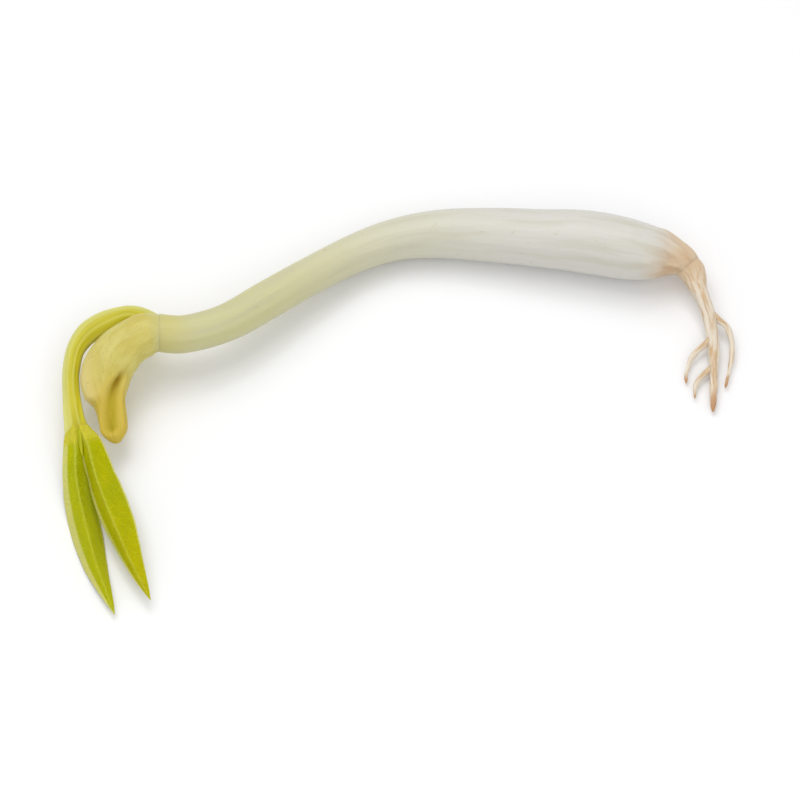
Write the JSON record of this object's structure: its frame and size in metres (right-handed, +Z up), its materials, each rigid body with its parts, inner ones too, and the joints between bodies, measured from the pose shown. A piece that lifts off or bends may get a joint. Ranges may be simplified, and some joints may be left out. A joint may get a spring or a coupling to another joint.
{
  "type": "mung bean sprout",
  "caption": "Fresh bean sprout with a white fleshy stem, a trailing root, a curled seed leaf and two folded green leaves, lying down.",
  "frame": {"origin": "on the surface that the sprout lies on, below the middle of its outline", "axes": "+X along the stem towards the root, -Y the side that the hook, the leaves and the root bend to, +Z up from the surface"},
  "size_m": [0.0351, 0.0232, 0.0036],
  "materials": {
    "stem_flesh": "moist, crisp white flesh with a thin glossy skin, faintly see-through, greener towards the hook and tan at the root collar",
    "root_skin": "thin cream root skin, drying to tan and brown at the tips",
    "seed_leaf": "soft, waxy, pale yellow-green",
    "green_stalk": "moist yellow-green stalk with fine lengthwise ribs",
    "leaf_blade": "soft lime-green blade with fine veins and pale margins"
  },
  "bodies": {
    "root": {"hypocotyl": "stem_flesh", "taproot": "root_skin", "side_root_1": "root_skin", "side_root_2": "root_skin", "side_root_3": "root_skin", "cotyledon": "seed_leaf", "epicotyl": "green_stalk", "leaf_left": "leaf_blade", "leaf_right": "leaf_blade", "terminal_bud": "green_stalk"}
  },
  "joints": []
}
